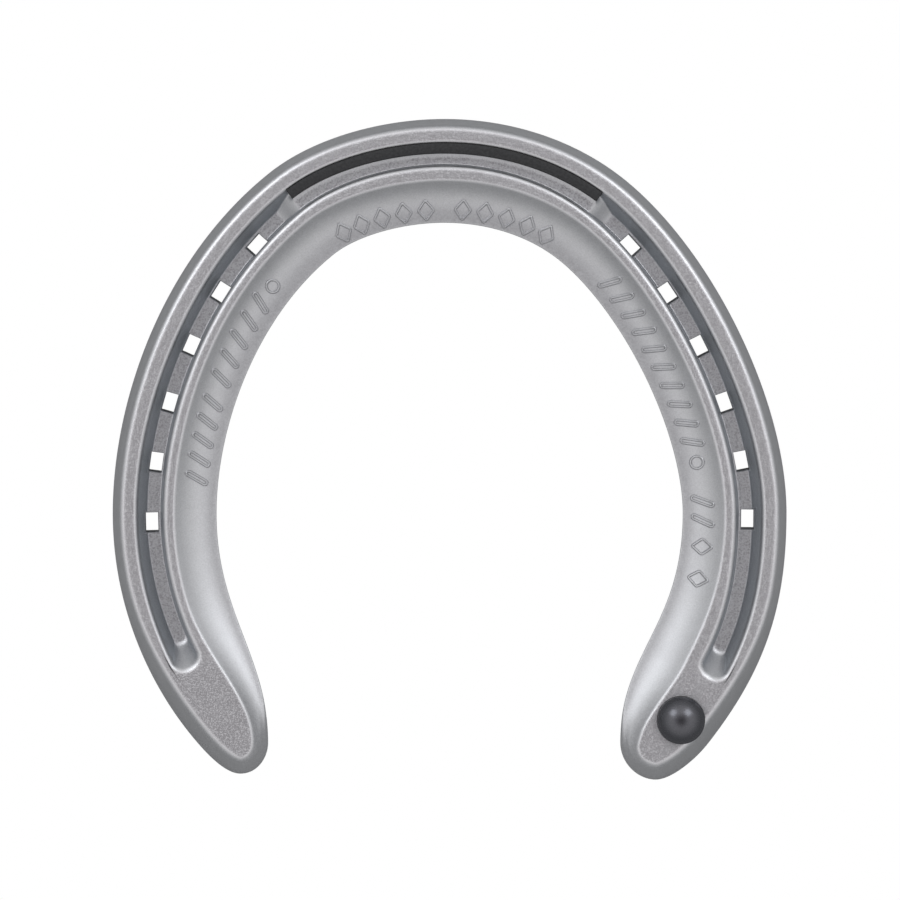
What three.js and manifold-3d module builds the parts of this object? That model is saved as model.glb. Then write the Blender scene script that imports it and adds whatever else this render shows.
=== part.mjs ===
// Aluminium racing plate (horseshoe) for a left fore foot, with a steel toe insert and a heel stud.
// Millimetres. +X points to the outside branch, +Y to the toe and +Z to the ground side.
// The hoof face is flat at z = 0, and the origin is in the middle of the shoe's outline.
// A station is a distance along the outer edge from the toe: positive on the outside branch and
// negative on the inside branch. A setback is a distance inwards from the outer edge.

import * as THREE from 'three';
import { LoftGeometry } from 'three/addons/geometries/LoftGeometry.js';
import { mergeVertices } from 'three/addons/utils/BufferGeometryUtils.js';
import Module from 'manifold-3d';

// Overall sizes
const shoeWidth = 130;
const shoeLength = 127.5;
const shoeThickness = 8;
const webWidth = 20.2;

// Outer wall, rims and inner slope
const wallDraft = 1.65; // lean of the outer wall in plan, along the branches
const heelWallDraft = 2.9; // the same at the heel ends
const heelDraftStart = 14; // distance from a heel end up to which the wall has the heel's lean
const heelDraftReach = 46; // distance from a heel end where the wall has its normal lean
const rimRounding = 0.95; // rounding between the outer wall and the ground face
const hoofEdgeBreak = 0.35; // small bevel round the hoof face
const innerRimWidth = 2.2; // flat land between the crease and the inner slope
const innerEdgeHeight = 4.2; // height of the thin inner edge
const heelEdgeHeight = 6; // the same beside the heel pads
const lipRounding = 0.5; // rounding on top of the thin inner edge
const lipTilt = 0.1; // rise per millimetre of the slope at the thin edge
const slopeHollow = 1.6; // power that bends the slope: higher is more hollow
const heelSlopeWidth = 2.9; // plan width of the slope at the heel ends
const heelSlopeReach = 36; // distance from a heel end where the slope has its full width
const turnStart = -8; // the wall starts to turn into the slope this far before the heel end
const turnEnd = 12; // and is all slope this far past it
const padRoundingReach = 15; // the heel pads' ends are rounded off within this distance
const padRoundingPasses = 5;

// Crease: the groove that takes the nail heads
const creaseSetback = 4.85;
const creaseWidth = 5.1;
const toeCreaseWidth = 4.8;
const toeCreaseReach = 55; // distance from the toe where the crease has its full width
const creaseFloorThickness = 3.3;
const creaseOuterLean = 1.95; // lean of the crease's outer wall in plan, at full depth
const creaseInnerLean = 0.45;
const creaseHeelGap = 23.8; // from a heel end to the end of the crease
const creaseEndRamp = 5.7; // rise of the floor at each end of the crease

// Toe insert and the raised bed beside it
const insertLength = 71;
const insertThickness = 1.95;
const insertHeight = 5;
const insertSetback = 5;
const insertClearance = 0.3;
const bedThickness = 5.9;
const bedRamp = 4.7; // slope from the bed down to the crease floor

// Nail holes
const nailCount = 6;
const nailPitch = 12.88;
const nailGap = 7.3; // from the foot of the bed's ramp to the middle of the first hole, outside branch
const insideNailGap = 7.65; // the same on the inside branch
const nailLength = 3.4;
const nailWidth = 2.45;
const nailHeelLean = 0.4; // the heel-side wall of each hole leans by this much
const firstNailSetback = 8.6;
const lastNailSetback = 7.7;

// Heel stud
const studHeadDiameter = 9.1;
const studHeadHeight = 4.7;
const studCapTilt = 58; // steepest slope of the domed top, in degrees
const studHeadBreak = 0.2; // small bevel under the head
const studShankTop = 5.2;
const studShankFoot = 4.4;
const studShankRecess = 0.4; // the shank ends this far inside the hoof face
const studClearance = 0.3;
const studPocketDepth = 0.35;
const studHeelGap = 13.1; // from the heel end to the stud, along the outer edge
const studSetback = 7.3;

// Resolution
const stationPitch = 3.2;
const heelSteps = 11;
const heelCrowding = 1.4; // above 1, the stations draw closer together towards the heel end
const slopeRows = 3;
const wallRows = 4;
const roundSegments = 28;
const domeSteps = 7;
const overrun = 1; // how far a cutting shape sticks out of the face it cuts
const mergeDistance = 1e-4;

// The outline is drawn on a shoe of this size and stretched to the overall sizes.
const drawnWidth = 130;
const drawnLength = 127.5;
const toeOffset = -1; // the toe lies this far to the inside of the middle

// A knot has its place, the direction in degrees in which the edge runs on towards the heel, and
// the reach of its two handles. Places and directions are those of the outside branch.
const outsideBranch = {
  side: 1,
  outerKnots: [
    { x: toeOffset, y: 63.75, heading: 0, before: 0, after: 12.4 },
    { x: 34.2, y: 51.7, heading: -39.5, before: 12.9, after: 21.7 },
    { x: 65, y: -12.2, heading: -90, before: 21.4, after: 18.2 },
    { x: 49.9, y: -56.7, heading: -128, before: 17.7, after: 4.2 },
    { x: 39.7, y: -63.75, heading: -180, before: 3, after: 0 },
  ],
  innerHeelKnots: [
    { heading: -90, before: 0, after: 21.8 },
    { x: 32.7, y: -56.4, heading: -90, before: 17.6, after: 4.3 },
    { x: 39.7, y: -63.75, heading: 0, before: 3.4, after: 0 },
  ],
};

const insideBranch = {
  side: -1,
  outerKnots: [
    { x: -toeOffset, y: 63.75, heading: 0, before: 0, after: 11.8 },
    { x: 34.7, y: 53.4, heading: -38.5, before: 10.9, after: 25.8 },
    { x: 65, y: -12.3, heading: -90, before: 22.4, after: 17.1 },
    { x: 50, y: -55, heading: -129, before: 13.6, after: 5.2 },
    { x: 40.3, y: -62.6, heading: -180, before: 2.9, after: 0 },
  ],
  innerHeelKnots: [
    { heading: -90, before: 0, after: 19.3 },
    { x: 34.8, y: -56.4, heading: -90, before: 16.6, after: 2.9 },
    { x: 40.3, y: -62.6, heading: 0, before: 3.5, after: 0 },
  ],
};
const widestKnot = 2;

const wasm = await Module();
wasm.setup();

function smoothStep(share) {
  const t = THREE.MathUtils.clamp(share, 0, 1);
  return t * t * (3 - 2 * t);
}

function mix(from, to, share) {
  return from + (to - from) * share;
}

// ---- Outline ----

// Curve through the knots, stretched from the drawn size to the shoe's size.
function knotPath(knots, side) {
  const stretch = new THREE.Vector2((side * shoeWidth) / drawnWidth, shoeLength / drawnLength);
  const handle = (knot, reach) => {
    const angle = THREE.MathUtils.degToRad(knot.heading);
    const point = new THREE.Vector2(Math.cos(angle), Math.sin(angle)).multiplyScalar(reach);
    return point.add(new THREE.Vector2(knot.x, knot.y)).multiply(stretch);
  };
  const path = new THREE.CurvePath();
  for (let i = 1; i < knots.length; i++) {
    const start = knots[i - 1];
    const end = knots[i];
    path.add(
      new THREE.CubicBezierCurve(
        handle(start, 0),
        handle(start, start.after),
        handle(end, -end.before),
        handle(end, 0),
      ),
    );
  }
  return path;
}

// Adds the branch's edge curves and lengths to its drawing.
function measuredBranch(branch) {
  const outer = knotPath(branch.outerKnots, branch.side);
  const toWidest = knotPath(branch.outerKnots.slice(0, widestKnot + 1), branch.side);
  const widest = branch.outerKnots[widestKnot];
  const webStart = { ...branch.innerHeelKnots[0], y: widest.y };
  webStart.x = widest.x - (webWidth * drawnWidth) / shoeWidth;
  const innerHeel = knotPath([webStart, ...branch.innerHeelKnots.slice(1)], branch.side);
  return {
    side: branch.side,
    outer,
    innerHeel,
    length: outer.getLength(),
    widestStation: toWidest.getLength(),
  };
}

const outside = measuredBranch(outsideBranch);
const inside = measuredBranch(insideBranch);

function branchAt(station) {
  return station < 0 ? inside : outside;
}

// Point at a station and a setback, in plan.
function placeAt(station, setback) {
  const branch = branchAt(station);
  const share = Math.min(Math.abs(station) / branch.length, 1);
  const point = branch.outer.getPoint(share);
  const along = branch.outer.getTangent(share);
  const inward = new THREE.Vector2(along.y, -along.x).multiplyScalar(branch.side);
  return point.addScaledVector(inward, setback);
}

// Point on the thin inner edge that belongs to a station.
function innerEdgeAt(station) {
  const branch = branchAt(station);
  const beyond = Math.abs(station) - branch.widestStation;
  if (beyond <= 0) {
    return placeAt(station, webWidth);
  }
  return branch.innerHeel.getPoint(Math.min(beyond / (branch.length - branch.widestStation), 1));
}

function heelDistance(station) {
  return branchAt(station).length - Math.abs(station);
}

// ---- Stations ----

// Distances from the toe to the heel end of a branch, closer together round the heel.
function branchStations(branch) {
  const padStart = branch.length - creaseHeelGap;
  const keys = [0, insertLength / 2, insertLength / 2 + bedRamp, branch.widestStation, padStart];
  const stations = [];
  for (let i = 1; i < keys.length; i++) {
    const steps = Math.ceil((keys[i] - keys[i - 1]) / stationPitch);
    for (let step = 0; step < steps; step++) {
      stations.push(mix(keys[i - 1], keys[i], step / steps));
    }
  }
  for (let step = 0; step <= heelSteps; step++) {
    const share = 1 - (1 - step / heelSteps) ** heelCrowding;
    stations.push(mix(padStart, branch.length, share));
  }
  return stations;
}

// All stations from the outside heel round the toe to the inside heel.
function shoeStations() {
  const outsideStations = branchStations(outside).reverse();
  const insideStations = branchStations(inside).slice(1);
  return [...outsideStations, ...insideStations.map((station) => -station)];
}

// Closed outline of the shoe, counterclockwise seen from the ground side. Each point knows its
// distance past the nearest heel end: negative on the outer edge and positive on the inner edge.
function shoeOutline() {
  const stations = shoeStations();
  const outerSide = stations.map((station) => ({
    station,
    point: placeAt(station, 0),
    pastHeel: -heelDistance(station),
  }));
  const innerSide = stations.slice(1, -1).reverse().map((station) => ({
    station,
    point: innerEdgeAt(station),
    pastHeel: heelDistance(station),
  }));
  const outline = [...outerSide, ...innerSide];
  outline.forEach((corner, i) => {
    const next = outline[(i + 1) % outline.length].point;
    const previous = outline.at(i - 1).point;
    const along = next.clone().sub(previous).normalize();
    corner.inward = new THREE.Vector2(-along.y, along.x);
  });
  return outline;
}

// ---- Body ----

// Rows of [inset, height] up the outer wall, from the hoof face to the ground face.
function wallProfile(draft) {
  const rows = [[hoofEdgeBreak, 0]];
  const wallTop = shoeThickness - rimRounding;
  for (let row = 0; row < wallRows; row++) {
    const share = row / (wallRows - 1);
    rows.push([draft * share, mix(hoofEdgeBreak, wallTop, share)]);
  }
  for (const degrees of [35, 65, 90]) {
    const angle = THREE.MathUtils.degToRad(degrees);
    const inset = draft + rimRounding * (1 - Math.cos(angle));
    rows.push([inset, wallTop + rimRounding * Math.sin(angle)]);
  }
  return rows;
}

// Rows of [inset, height] up the thin inner edge and the hollow slope to the ground face.
function slopeProfile(slopeWidth, edgeHeight) {
  const rows = [
    [hoofEdgeBreak, 0],
    [0, hoofEdgeBreak],
    [0, edgeHeight - lipRounding],
    [lipRounding, edgeHeight],
  ];
  const run = slopeWidth - lipRounding;
  const lipRise = run * lipTilt;
  const hollowRise = shoeThickness - edgeHeight - lipRise;
  for (let row = 1; row <= slopeRows + 1; row++) {
    const share = (row / (slopeRows + 1)) ** 0.7;
    const height = edgeHeight + lipRise * share + hollowRise * share ** slopeHollow;
    rows.push([lipRounding + run * share, height]);
  }
  return rows;
}

// The profile at a corner of the outline: wall outside, slope inside, and a blend round the heel.
function edgeProfile(corner) {
  const fromHeel = Math.abs(corner.pastHeel);
  const pastHeelPad = (fromHeel - heelDraftStart) / (heelDraftReach - heelDraftStart);
  const draft = mix(heelWallDraft, wallDraft, smoothStep(pastHeelPad));
  const creaseEdge = creaseSetback + creaseWidth;
  const fullSlope = webWidth - creaseEdge - innerRimWidth;
  const grown = smoothStep(fromHeel / heelSlopeReach);
  const wall = wallProfile(draft);
  const slope = slopeProfile(
    mix(heelSlopeWidth, fullSlope, grown),
    mix(heelEdgeHeight, innerEdgeHeight, grown),
  );
  const turned = smoothStep((corner.pastHeel - turnStart) / (turnEnd - turnStart));
  return wall.map((row, i) => row.map((value, axis) => mix(value, slope[i][axis], turned)));
}

// Rounds a ring's plan near the heel ends, a little more with each pass.
function roundedAtHeels(ring, outline, passes) {
  const points = ring.map((point) => point.clone());
  for (let pass = 0; pass < passes; pass++) {
    const last = points.map((point) => point.clone());
    points.forEach((point, i) => {
      const middle = last.at(i - 1).clone().add(last[(i + 1) % last.length]).multiplyScalar(0.5);
      const fromHeel = Math.abs(outline[i].pastHeel);
      middle.z = point.z;
      point.lerp(middle, 0.5 * smoothStep(1 - fromHeel / padRoundingReach));
    });
  }
  return points;
}

function bodyGeometry() {
  const outline = shoeOutline();
  const profiles = outline.map(edgeProfile);
  const rings = profiles[0].map((unused, row) =>
    outline.map((corner, i) => {
      const [inset, height] = profiles[i][row];
      const point = corner.point.clone().addScaledVector(corner.inward, inset);
      return new THREE.Vector3(point.x, point.y, height);
    }),
  );
  const eased = rings.map((ring, row) => {
    const share = Math.max(row - wallRows, 0) / (rings.length - 1 - wallRows);
    return roundedAtHeels(ring, outline, Math.round(padRoundingPasses * share));
  });
  return new LoftGeometry(eased, { capStart: true, capEnd: true });
}

// ---- Crease ----

function creaseWidthAt(station) {
  return mix(toeCreaseWidth, creaseWidth, smoothStep(Math.abs(station) / toeCreaseReach));
}

// Thickness of metal left under the crease, which rises to the bed at the toe.
function floorHeightAt(station) {
  const pastBed = (Math.abs(station) - insertLength / 2) / bedRamp;
  return mix(bedThickness, creaseFloorThickness, smoothStep(pastBed));
}

// Four-cornered section of the crease, open above the ground face.
function creaseSection(station) {
  const fromEnd = Math.max(heelDistance(station) - creaseHeelGap, 0);
  const opening = Math.sqrt(1 - (1 - Math.min(fromEnd / (creaseWidth / 2), 1)) ** 2);
  const width = creaseWidthAt(station);
  const middle = creaseSetback + width / 2;
  const halfTop = Math.max((width / 2) * opening, 0.3);
  const fullDepth = shoeThickness - creaseFloorThickness;
  const sunk = smoothStep(fromEnd / creaseEndRamp);
  const depth = Math.max((shoeThickness - floorHeightAt(station)) * sunk, 0.2);
  const leanShare = (depth / fullDepth) * (halfTop / (width / 2));
  const outerTop = middle - halfTop;
  const innerTop = middle + halfTop;
  const outerFoot = outerTop + creaseOuterLean * leanShare;
  const innerFoot = innerTop - creaseInnerLean * leanShare;
  const rise = overrun / depth;
  const corners = [
    [outerTop - (outerFoot - outerTop) * rise, shoeThickness + overrun],
    [outerFoot, shoeThickness - depth],
    [innerFoot, shoeThickness - depth],
    [innerTop + (innerTop - innerFoot) * rise, shoeThickness + overrun],
  ];
  return corners.map(([setback, height]) => {
    const point = placeAt(station, setback);
    return new THREE.Vector3(point.x, point.y, height);
  });
}

function creaseStations(branch) {
  const end = branch.length - creaseHeelGap;
  const steps = [0.02, 0.3, 0.9, 1.7, 2.7, 4.1, creaseEndRamp].map((gap) => end - gap);
  const along = branchStations(branch).filter((station) => station < end - creaseEndRamp - 0.5);
  return [...along, ...steps.reverse()];
}

function creaseGeometry() {
  const outsideStations = creaseStations(outside).reverse();
  const insideStations = creaseStations(inside).slice(1);
  const stations = [...outsideStations, ...insideStations.map((station) => -station)];
  return new LoftGeometry(stations.map(creaseSection), { capStart: true, capEnd: true });
}

// ---- Toe insert ----

// Bar that follows the toe, given half its length, its two setbacks, its foot and its height.
function toeBarGeometry(halfLength, nearSetback, farSetback, foot, height) {
  const steps = 2 * Math.ceil(halfLength / stationPitch);
  const line = (setback) =>
    Array.from({ length: steps + 1 }, (unused, i) =>
      placeAt(mix(halfLength, -halfLength, i / steps), setback),
    );
  const shape = new THREE.Shape([...line(nearSetback), ...line(farSetback).reverse()]);
  const geometry = new THREE.ExtrudeGeometry(shape, { depth: height, bevelEnabled: false });
  return geometry.translate(0, 0, foot);
}

function insertGeometry() {
  const foot = shoeThickness - insertHeight;
  const farSetback = insertSetback + insertThickness;
  return toeBarGeometry(insertLength / 2, insertSetback, farSetback, foot, insertHeight);
}

function insertSlotGeometry() {
  const foot = shoeThickness - insertHeight - insertClearance;
  const height = shoeThickness - foot + overrun;
  return toeBarGeometry(
    insertLength / 2 + insertClearance,
    insertSetback - insertClearance,
    insertSetback + insertThickness + insertClearance,
    foot,
    height,
  );
}

// ---- Nail holes ----

// Rectangular hole that widens towards the heel as it rises to the crease floor.
function nailHoleGeometry(side, number) {
  const first = insertLength / 2 + bedRamp + (side > 0 ? nailGap : insideNailGap);
  const station = side * (first + number * nailPitch);
  const setback = mix(firstNailSetback, lastNailSetback, number / (nailCount - 1));
  const middle = placeAt(station, setback);
  const inward = placeAt(station, setback + 1).sub(middle);
  const heelward = new THREE.Vector2(inward.y, -inward.x).multiplyScalar(-side);
  const top = shoeThickness - creaseInnerLean;
  const levels = [-overrun, 0, creaseFloorThickness, top];
  const sections = levels.map((level) => {
    const rise = THREE.MathUtils.clamp(level / creaseFloorThickness, 0, 1);
    const heelEnd = nailLength / 2 + nailHeelLean * rise;
    const corners = [
      [-nailLength / 2, -nailWidth / 2],
      [heelEnd, -nailWidth / 2],
      [heelEnd, nailWidth / 2],
      [-nailLength / 2, nailWidth / 2],
    ];
    const points = corners.map(([along, across]) => {
      const point = middle.clone().addScaledVector(heelward, along).addScaledVector(inward, across);
      return new THREE.Vector3(point.x, point.y, level);
    });
    return side > 0 ? points.reverse() : points;
  });
  return new LoftGeometry(sections, { capStart: true, capEnd: true });
}

// ---- Heel stud ----

function studPlace() {
  return placeAt(outside.length - studHeelGap, studSetback);
}

// Upright head with a domed top over a tapered shank, turned about the stud's own axis.
function studGeometry() {
  const seat = shoeThickness - studPocketDepth + studClearance;
  const radius = studHeadDiameter / 2;
  const top = seat + studHeadHeight;
  const tilt = THREE.MathUtils.degToRad(studCapTilt);
  const capRadius = radius / Math.sin(tilt);
  const profile = [
    new THREE.Vector2(0, studShankRecess),
    new THREE.Vector2(studShankFoot / 2, studShankRecess),
    new THREE.Vector2(studShankTop / 2, seat),
    new THREE.Vector2(radius - studHeadBreak, seat),
    new THREE.Vector2(radius, seat + studHeadBreak),
  ];
  for (let step = 0; step <= domeSteps; step++) {
    const angle = tilt * (1 - step / domeSteps);
    const height = top - capRadius * (1 - Math.cos(angle));
    profile.push(new THREE.Vector2(capRadius * Math.sin(angle), height));
  }
  return new THREE.LatheGeometry(profile, roundSegments);
}

// The hole for the shank and the shallow pocket for the head.
function studHoleGeometry() {
  const pocket = shoeThickness - studPocketDepth;
  const taper = (studShankTop - studShankFoot) / 2 / (pocket - studShankRecess);
  const footRadius = studShankFoot / 2 - taper * (studShankRecess + overrun) + studClearance;
  const profile = [
    new THREE.Vector2(0, -overrun),
    new THREE.Vector2(footRadius, -overrun),
    new THREE.Vector2(studShankTop / 2 + studClearance, pocket),
    new THREE.Vector2(studHeadDiameter / 2 + studClearance, pocket),
    new THREE.Vector2(studHeadDiameter / 2 + studClearance, shoeThickness + overrun),
    new THREE.Vector2(0, shoeThickness + overrun),
  ];
  return new THREE.LatheGeometry(profile, roundSegments);
}

// Stands a turned shape upright on the stud's axis.
function onStudAxis(geometry) {
  const place = studPlace();
  return geometry.rotateX(Math.PI / 2).translate(place.x, place.y, 0);
}

// ---- Solids ----

function solidOf(geometry) {
  const bare = new THREE.BufferGeometry();
  bare.setAttribute('position', geometry.getAttribute('position'));
  bare.setIndex(geometry.getIndex());
  const merged = mergeVertices(bare, mergeDistance);
  const mesh = new wasm.Mesh({
    numProp: 3,
    vertProperties: new Float32Array(merged.getAttribute('position').array),
    triVerts: new Uint32Array(merged.getIndex().array),
  });
  mesh.merge();
  return new wasm.Manifold(mesh);
}

function geometryOf(solid) {
  const mesh = solid.getMesh();
  const geometry = new THREE.BufferGeometry();
  geometry.setAttribute('position', new THREE.BufferAttribute(mesh.vertProperties, 3));
  geometry.setIndex(new THREE.BufferAttribute(mesh.triVerts, 1));
  geometry.computeVertexNormals();
  return geometry;
}

function plateGeometry() {
  const cutters = [
    creaseGeometry(),
    insertSlotGeometry(),
    onStudAxis(studHoleGeometry()),
  ];
  for (const side of [1, -1]) {
    for (let number = 0; number < nailCount; number++) {
      cutters.push(nailHoleGeometry(side, number));
    }
  }
  let plate = solidOf(bodyGeometry());
  for (const cutter of cutters) {
    plate = plate.subtract(solidOf(cutter));
  }
  return geometryOf(plate);
}

function namedMesh(name, geometry, look) {
  const mesh = new THREE.Mesh(geometry, new THREE.MeshStandardMaterial(look));
  mesh.name = name;
  return mesh;
}

const shoe = new THREE.Group();
shoe.add(
  namedMesh('plate', plateGeometry(), { color: 0xb3b4b7, roughness: 0.42, metalness: 1 }),
  namedMesh('toe_insert', insertGeometry(), { color: 0x3b3b3d, roughness: 0.6, metalness: 0.8 }),
  namedMesh('heel_stud', onStudAxis(studGeometry()), {
    color: 0x46464a,
    roughness: 0.35,
    metalness: 1,
  }),
);

export default shoe;
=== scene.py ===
import math

import bmesh
import bpy
import numpy as np
from mathutils import Matrix, Vector
from mathutils.bvhtree import BVHTree
from mathutils.kdtree import KDTree


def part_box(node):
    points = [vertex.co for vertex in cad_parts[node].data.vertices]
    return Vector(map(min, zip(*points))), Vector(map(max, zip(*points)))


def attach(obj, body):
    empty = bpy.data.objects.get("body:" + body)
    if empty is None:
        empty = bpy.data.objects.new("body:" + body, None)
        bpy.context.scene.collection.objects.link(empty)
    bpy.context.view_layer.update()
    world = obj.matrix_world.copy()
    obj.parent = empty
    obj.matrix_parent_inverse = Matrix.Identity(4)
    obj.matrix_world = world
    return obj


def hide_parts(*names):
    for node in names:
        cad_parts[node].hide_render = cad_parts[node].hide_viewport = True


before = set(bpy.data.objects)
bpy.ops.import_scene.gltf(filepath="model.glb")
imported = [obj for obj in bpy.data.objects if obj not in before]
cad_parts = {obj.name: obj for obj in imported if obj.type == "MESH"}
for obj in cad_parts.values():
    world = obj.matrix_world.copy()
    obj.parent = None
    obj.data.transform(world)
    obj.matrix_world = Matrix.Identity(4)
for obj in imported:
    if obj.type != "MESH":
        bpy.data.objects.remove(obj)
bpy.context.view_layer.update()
plateLow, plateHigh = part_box("plate")
insertLow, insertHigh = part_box("toe_insert")
studLow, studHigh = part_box("heel_stud")
mm = 0.001  # every length below is in millimetres until a mesh is finished

shoe = {
    "width": (plateHigh.x - plateLow.x) / mm,
    "length": (plateHigh.y - plateLow.y) / mm,
    "thickness": plateHigh.z / mm,
    "web": 20.2,  # plan width of the metal along the toe and quarters
    "wallDraft": 1.65,  # how far the outer wall leans in, in plan
    "heelWallDraft": 2.9,
    "heelDraftStart": 14.0,  # the lean of the wall changes between these two distances from a heel
    "heelDraftReach": 46.0,
    "rimRound": 1.3,  # reach of the rounding over the outer wall
    "heelRimRound": 1.25,
    "hoofEdge": 0.35,  # small rounding round the hoof face
    "innerRim": 2.2,  # land between the crease and the hollow slope
    "innerEdge": 4.2,  # height of the thin inner edge
    "heelEdge": 6.0,
    "lipRound": 0.25,
    "lipTilt": 0.09,  # rise per millimetre of the slope at its thin edge
    "heelLipTilt": 0.12,
    "edgeLean": 0.22,  # the thin edge leans in by this much towards the hoof face
    "toeHollow": 2.9,  # power that bends the slope: 1 is straight
    "heelHollow": 1.9,
    "hollowReach": (50.0, 140.0),  # distance from the toe over which it changes
    "rimFoot": 0.5,  # rounding between the slope and the land
    "heelSlope": 1.5,
    "heelSlopeReach": {1: 33.0, -1: 44.0},  # outside and inside branch
    "turnStart": -4.0,  # wall turns into slope round the heel, between these two places
    "turnEnd": 21.0,
    "padRoundReach": 15.0,  # the pads' ends are rounded off within this distance
    "padRoundPasses": 45,
    "padRoundFirstRing": 6,  # rings below this one keep the outline's own shape
}

crease = {
    "setback": 4.85,
    "width": 5.1,
    "toeWidth": 4.45,
    "toeReach": 55.0,  # distance from the toe where the full width is reached
    "floor": 3.3,  # metal left under the groove
    "outerLean": 1.95,  # lean of each wall in plan, at full depth
    "innerLean": 0.45,
    "nailShift": 0.28,  # the outer lip sits this much further in beside the first nail holes
    "nailShiftAt": 72.0,
    "nailShiftReach": 34.0,
    "heelGap": 23.8,  # from a heel end to the end of the groove
    "endRamp": 5.7,  # rise of the floor at each end
    "endMouthEase": 1.3,  # the ends are rounded this many times as much as the walls
    "endFootEase": 3,
    "mouthRound": 0.7,
    "innerMouthRound": 1.1,
    "footRound": 0.3,
}

toe = {
    "insertLength": 71.0,
    "insertThickness": 1.95,
    "insertSetback": 5.0,
    "insertBevel": 0.16,
    "fitGap": 0.04,  # pressed in, with only a hairline between the two metals
    "bed": 5.9,  # thickness of metal under the raised bed
    "bedRamp": 4.7,
    "rampEase": 0.35,  # 0 is a straight ramp, 1 a fully rounded one
    "shoulderRise": 0.3,  # small swell of metal against the insert
    "shoulderReach": 0.85,
    "shoulderPower": 1.6,  # higher keeps the swell closer to the insert
}

nails = {
    "count": 6,
    "pitch": 12.88,
    "gap": {1: 7.3, -1: 7.65},  # outside and inside branch
    "length": 3.4,
    "width": 2.45,
    "heelLean": 0.4,  # the heel-side wall of each hole leans by this much
    "firstSetback": 8.6,
    "lastSetback": 7.7,
    "chamfer": 0.13,
}

stud = {
    "diameter": (studHigh.x - studLow.x) / mm,
    "top": studHigh.z / mm,
    "foot": studLow.z / mm,
    "capTilt": 58.0,  # steepest slope of the domed top, in degrees
    "capEdge": 0.12,  # small rounding between the dome and the upright side
    "shankTop": 5.2,
    "shankFoot": 4.4,
    "pocket": 0.35,  # depth of the shallow seat under the head
    "fitGap": 0.05,  # driven in, with only a hairline round the head
}

detail = {
    "stationPitch": 0.55,  # spacing of the mesh along the edge
    "endSteps": 64,
    "endArc": 22,  # of those, the steps round the end of the crease
    "crowding": 1.35,  # above 1 the stations lie closer together at the heels
    "wallCounts": [1, 4, 10, 12],  # steps of each straight and corner in turn
    "lipCounts": [1, 4, 2, 4],
    "creaseCounts": [1, 6, 6, 6],
    "slopeSteps": 11,
    "slopeFootSteps": 5,
    "landSteps": 4,
    "hoofColumns": 8,
    "floorColumns": 12,
    "studSegments": 120,
    "capSteps": 30,
}


def smoothStep(share):
    t = min(max(share, 0.0), 1.0)
    return t * t * (3 - 2 * t)


def mix(start, end, share):
    return start + (end - start) * share


# Outline: knots from the toe to the heel, as on the CAD part's drawing of 130 by 127.5.
# Each has a place, a heading in degrees and the reach of its handles before and after it.
drawnSize = (130.0, 127.5)
toeOffset = -1.0
branchDrawings = {
    1: {
        "outer": [
            (toeOffset, 63.75, 0, 0, 12.4),
            (34.2, 51.7, -39.5, 12.9, 21.7),
            (65, -12.2, -90, 21.4, 18.2),
            (49.9, -56.7, -128, 17.7, 4.2),
            (39.7, -63.75, -180, 3, 0),
        ],
        "innerHeel": [(None, -12.2, -90, 0, 21.8), (32.7, -56.4, -90, 17.6, 4.3), (39.7, -63.75, 0, 3.4, 0)],
    },
    -1: {
        "outer": [
            (-toeOffset, 63.75, 0, 0, 11.8),
            (34.7, 53.4, -38.5, 10.9, 25.8),
            (65, -12.3, -90, 22.4, 17.1),
            (50, -55, -129, 13.6, 5.2),
            (40.3, -62.6, -180, 2.9, 0),
        ],
        "innerHeel": [(None, -12.3, -90, 0, 19.3), (34.8, -56.4, -90, 16.6, 2.9), (40.3, -62.6, 0, 3.5, 0)],
    },
}


class EdgePath:
    # A chain of Bezier curves that can be asked for a point and a direction by length.
    def __init__(self, knots, side):
        stretch = np.array([side * shoe["width"] / drawnSize[0], shoe["length"] / drawnSize[1]])
        t = np.linspace(0, 1, 401)[:, None]
        pieces = []
        for (x0, y0, heading0, unused, after), (x1, y1, heading1, before, unused2) in zip(knots, knots[1:]):
            start, end = np.array([x0, y0]), np.array([x1, y1])
            a0, a1 = math.radians(heading0), math.radians(heading1)
            h0 = start + after * np.array([math.cos(a0), math.sin(a0)])
            h1 = end - before * np.array([math.cos(a1), math.sin(a1)])
            curve = (1 - t) ** 3 * start + 3 * (1 - t) ** 2 * t * h0 + 3 * (1 - t) * t**2 * h1 + t**3 * end
            pieces.append(curve if not pieces else curve[1:])
        self.points = np.vstack(pieces) * stretch
        steps = np.hypot(*np.diff(self.points, axis=0).T)
        self.reach = np.concatenate([[0], np.cumsum(steps)])
        self.length = self.reach[-1]
        along = np.gradient(self.points, self.reach, axis=0)
        self.along = along / np.hypot(*along.T)[:, None]

    def at(self, distance):
        return np.array([np.interp(distance, self.reach, self.points[:, k]) for k in (0, 1)])

    def heading(self, distance):
        along = np.array([np.interp(distance, self.reach, self.along[:, k]) for k in (0, 1)])
        return along / np.hypot(*along)


def measuredBranch(side):
    drawing = branchDrawings[side]
    outer = EdgePath(drawing["outer"], side)
    widest = drawing["outer"][2]
    webStart = widest[0] - shoe["web"] * drawnSize[0] / shoe["width"]
    heelKnots = [(webStart, *drawing["innerHeel"][0][1:]), *drawing["innerHeel"][1:]]
    return {
        "outer": outer,
        "innerHeel": EdgePath(heelKnots, side),
        "length": outer.length,
        "widest": EdgePath(drawing["outer"][:3], side).length,
    }


branches = {side: measuredBranch(side) for side in (1, -1)}


def sideOf(station):
    return -1 if station < 0 else 1


def placeAt(station, setback):
    # Plan position from a distance along the outer edge and a distance in from it.
    side = sideOf(station)
    path = branches[side]["outer"]
    distance = min(abs(station), path.length)
    along = path.heading(distance)
    return path.at(distance) + setback * side * np.array([along[1], -along[0]])


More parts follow.
